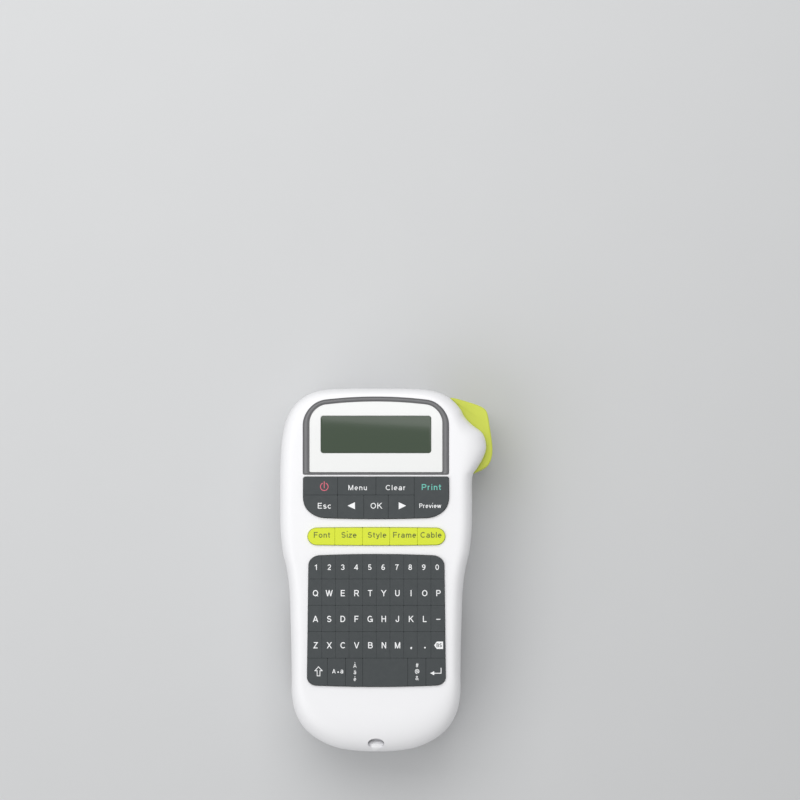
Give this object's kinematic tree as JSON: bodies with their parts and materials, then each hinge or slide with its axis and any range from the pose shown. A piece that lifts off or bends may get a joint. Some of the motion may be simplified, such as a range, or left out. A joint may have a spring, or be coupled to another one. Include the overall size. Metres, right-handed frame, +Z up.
{
  "type": "label maker",
  "caption": "Handheld label maker: contoured white case, screen, function keys, lime shortcut keys, letter keyboard, cutter lever and lift-off back over tape drive and cells.",
  "frame": {"origin": "middle of the flat back face that the device lies on, on the case's long centre line", "axes": "+Z up out of the key face; +Y towards the screen end; +X to the user's right, the cutter lever's side"},
  "size_m": [0.1209, 0.207, 0.058],
  "materials": {
    "white_shell": "moulded, satin",
    "bezel_grey": "satin",
    "lens_clear": "polished",
    "lcd_glass": "polished",
    "key_dark": "matt",
    "lime_plastic": "satin",
    "steel": "plain",
    "gear_nylon": "moulded",
    "black_plastic": "moulded",
    "roller_rubber": "matt",
    "circuit_board": "lacquered",
    "head_ceramic": "glazed",
    "cassette_plastic": "moulded",
    "label_tape_white": "laminated film",
    "battery_wrap": "printed wrap"
  },
  "bodies": {
    "housing": {"front_cover": "white_shell", "rear_housing": "white_shell", "screen_bezel": "bezel_grey", "screen_window": "lens_clear", "lcd_panel": "lcd_glass", "main_board": "circuit_board", "keypad_mat": "roller_rubber", "battery_contacts_upper": "steel", "battery_contacts_lower": "steel", "cassette_case": "cassette_plastic", "label_tape": "label_tape_white", "print_head": "head_ceramic", "head_heatsink": "steel", "chassis_plate": "steel", "drive_motor": "steel", "dc_jack": "black_plastic", "lever_spring": "steel", "case_screw_1": "steel", "case_screw_2": "steel", "case_screw_3": "steel", "battery_cell_1": "battery_wrap", "battery_cell_2": "battery_wrap", "battery_cell_3": "battery_wrap", "battery_cell_4": "battery_wrap", "battery_cell_5": "battery_wrap", "battery_cell_6": "battery_wrap"},
    "back_cover": {"back_cover": "white_shell"},
    "cutter_lever": {"cutter_lever": "lime_plastic"},
    "blade": {"blade_carrier": "black_plastic", "cutter_blade": "steel"},
    "platen_arm": {"platen_arm": "gear_nylon"},
    "platen": {"platen_roller": "roller_rubber", "platen_gear": "gear_nylon"},
    "motor_pinion": {"motor_pinion": "gear_nylon"},
    "idler": {"idler_gear": "gear_nylon"},
    "takeup": {"takeup_spindle": "gear_nylon"},
    "tape_roll": {"tape_roll": "label_tape_white"},
    "key_power": {"key_power": "key_dark"},
    "key_menu": {"key_menu": "key_dark"},
    "key_clear": {"key_clear": "key_dark"},
    "key_print": {"key_print": "key_dark"},
    "key_escape": {"key_escape": "key_dark"},
    "key_left": {"key_left": "key_dark"},
    "key_ok": {"key_ok": "key_dark"},
    "key_right": {"key_right": "key_dark"},
    "key_font": {"key_font": "lime_plastic"},
    "key_size": {"key_size": "lime_plastic"},
    "key_style": {"key_style": "lime_plastic"},
    "key_frame": {"key_frame": "lime_plastic"},
    "key_cable": {"key_cable": "lime_plastic"},
    "key_shift": {"key_shift": "key_dark"},
    "key_caps": {"key_caps": "key_dark"},
    "key_accent": {"key_accent": "key_dark"},
    "key_space": {"key_space": "key_dark"},
    "key_symbol": {"key_symbol": "key_dark"},
    "key_enter": {"key_enter": "key_dark"},
    "number_row_keys": {"number_row_keys": "key_dark"},
    "upper_letter_keys": {"upper_letter_keys": "key_dark"},
    "middle_letter_keys": {"middle_letter_keys": "key_dark"},
    "lower_letter_keys": {"lower_letter_keys": "key_dark"}
  },
  "joints": [
    {"name": "back_cover_lift", "type": "slide", "parent": "housing", "child": "back_cover", "axis": [0, 0, -1], "range_m": [0, 0.025]},
    {"name": "lever_press", "type": "hinge", "parent": "housing", "child": "cutter_lever", "pos_m": [0.0502, 0.057, 0.028], "axis": [0, 0, 1], "range_deg": [0, 8], "stiffness_Nm_per_rad": 2, "springref_deg": -5.73},
    {"name": "blade_slide", "type": "slide", "parent": "housing", "child": "blade", "axis": [-1, 0, 0], "range_m": [0, 0.0046]},
    {"name": "platen_release", "type": "hinge", "parent": "housing", "child": "platen_arm", "pos_m": [0.0413, 0.031, 0.014], "axis": [0, 0, 1], "range_deg": [-3, 0], "stiffness_Nm_per_rad": 1, "springref_deg": 5.73},
    {"name": "idler_spin", "type": "hinge", "parent": "housing", "child": "idler", "pos_m": [-0.00765, 0.06517, 0.03], "axis": [0, 0, 1], "continuous": true},
    {"name": "motor_spin", "type": "hinge", "parent": "housing", "child": "motor_pinion", "pos_m": [-0.03229, 0.06952, 0.03], "axis": [0, 0, 1], "continuous": true},
    {"name": "takeup_spin", "type": "hinge", "parent": "housing", "child": "takeup", "pos_m": [0.02291, 0.05978, 0.03], "axis": [0, 0, 1], "continuous": true},
    {"name": "platen_spin", "type": "hinge", "parent": "platen_arm", "child": "platen", "pos_m": [0.0387, 0.057, 0.014], "axis": [0, 0, 1], "continuous": true},
    {"name": "roll_spin", "type": "hinge", "parent": "housing", "child": "tape_roll", "pos_m": [0.004, 0.0415, 0.012], "axis": [0, 0, 1], "continuous": true},
    {"name": "key_power_press", "type": "slide", "parent": "housing", "child": "key_power", "axis": [0, 0, -1], "range_m": [0, 0.0012], "stiffness_N_per_m": 150, "springref_m": -0.002},
    {"name": "key_menu_press", "type": "slide", "parent": "housing", "child": "key_menu", "axis": [0, 0, -1], "range_m": [0, 0.0012], "stiffness_N_per_m": 150, "springref_m": -0.002},
    {"name": "key_clear_press", "type": "slide", "parent": "housing", "child": "key_clear", "axis": [0, 0, -1], "range_m": [0, 0.0012], "stiffness_N_per_m": 150, "springref_m": -0.002},
    {"name": "key_print_press", "type": "slide", "parent": "housing", "child": "key_print", "axis": [0, 0, -1], "range_m": [0, 0.0012], "stiffness_N_per_m": 150, "springref_m": -0.002},
    {"name": "key_escape_press", "type": "slide", "parent": "housing", "child": "key_escape", "axis": [0, 0, -1], "range_m": [0, 0.0012], "stiffness_N_per_m": 150, "springref_m": -0.002},
    {"name": "key_left_press", "type": "slide", "parent": "housing", "child": "key_left", "axis": [0, 0, -1], "range_m": [0, 0.0012], "stiffness_N_per_m": 150, "springref_m": -0.002},
    {"name": "key_ok_press", "type": "slide", "parent": "housing", "child": "key_ok", "axis": [0, 0, -1], "range_m": [0, 0.0012], "stiffness_N_per_m": 150, "springref_m": -0.002},
    {"name": "key_right_press", "type": "slide", "parent": "housing", "child": "key_right", "axis": [0, 0, -1], "range_m": [0, 0.0012], "stiffness_N_per_m": 150, "springref_m": -0.002},
    {"name": "key_font_press", "type": "slide", "parent": "housing", "child": "key_font", "axis": [0, 0, -1], "range_m": [0, 0.0012], "stiffness_N_per_m": 150, "springref_m": -0.002},
    {"name": "key_size_press", "type": "slide", "parent": "housing", "child": "key_size", "axis": [0, 0, -1], "range_m": [0, 0.0012], "stiffness_N_per_m": 150, "springref_m": -0.002},
    {"name": "key_style_press", "type": "slide", "parent": "housing", "child": "key_style", "axis": [0, 0, -1], "range_m": [0, 0.0012], "stiffness_N_per_m": 150, "springref_m": -0.002},
    {"name": "key_frame_press", "type": "slide", "parent": "housing", "child": "key_frame", "axis": [0, 0, -1], "range_m": [0, 0.0012], "stiffness_N_per_m": 150, "springref_m": -0.002},
    {"name": "key_cable_press", "type": "slide", "parent": "housing", "child": "key_cable", "axis": [0, 0, -1], "range_m": [0, 0.0012], "stiffness_N_per_m": 150, "springref_m": -0.002},
    {"name": "key_shift_press", "type": "slide", "parent": "housing", "child": "key_shift", "axis": [0, 0, -1], "range_m": [0, 0.0012], "stiffness_N_per_m": 150, "springref_m": -0.002},
    {"name": "key_caps_press", "type": "slide", "parent": "housing", "child": "key_caps", "axis": [0, 0, -1], "range_m": [0, 0.0012], "stiffness_N_per_m": 150, "springref_m": -0.002},
    {"name": "key_accent_press", "type": "slide", "parent": "housing", "child": "key_accent", "axis": [0, 0, -1], "range_m": [0, 0.0012], "stiffness_N_per_m": 150, "springref_m": -0.002},
    {"name": "key_space_press", "type": "slide", "parent": "housing", "child": "key_space", "axis": [0, 0, -1], "range_m": [0, 0.0012], "stiffness_N_per_m": 150, "springref_m": -0.002},
    {"name": "key_symbol_press", "type": "slide", "parent": "housing", "child": "key_symbol", "axis": [0, 0, -1], "range_m": [0, 0.0012], "stiffness_N_per_m": 150, "springref_m": -0.002},
    {"name": "key_enter_press", "type": "slide", "parent": "housing", "child": "key_enter", "axis": [0, 0, -1], "range_m": [0, 0.0012], "stiffness_N_per_m": 150, "springref_m": -0.002},
    {"name": "number_row_keys_press", "type": "slide", "parent": "housing", "child": "number_row_keys", "axis": [0, 0, -1], "range_m": [0, 0.0012], "stiffness_N_per_m": 400, "springref_m": -0.002},
    {"name": "upper_letter_keys_press", "type": "slide", "parent": "housing", "child": "upper_letter_keys", "axis": [0, 0, -1], "range_m": [0, 0.0012], "stiffness_N_per_m": 400, "springref_m": -0.002},
    {"name": "middle_letter_keys_press", "type": "slide", "parent": "housing", "child": "middle_letter_keys", "axis": [0, 0, -1], "range_m": [0, 0.0012], "stiffness_N_per_m": 400, "springref_m": -0.002},
    {"name": "lower_letter_keys_press", "type": "slide", "parent": "housing", "child": "lower_letter_keys", "axis": [0, 0, -1], "range_m": [0, 0.0012], "stiffness_N_per_m": 400, "springref_m": -0.002}
  ],
  "couplings": [
    {"joint": "motor_spin", "follows": "idler_spin", "ratio": -5.25},
    {"joint": "takeup_spin", "follows": "idler_spin", "ratio": -2.1},
    {"joint": "platen_spin", "follows": "idler_spin", "ratio": 3.5},
    {"joint": "roll_spin", "follows": "idler_spin", "ratio": -0.893},
    {"joint": "blade_slide", "follows": "lever_press", "m_per_rad": 0.032944}
  ]
}
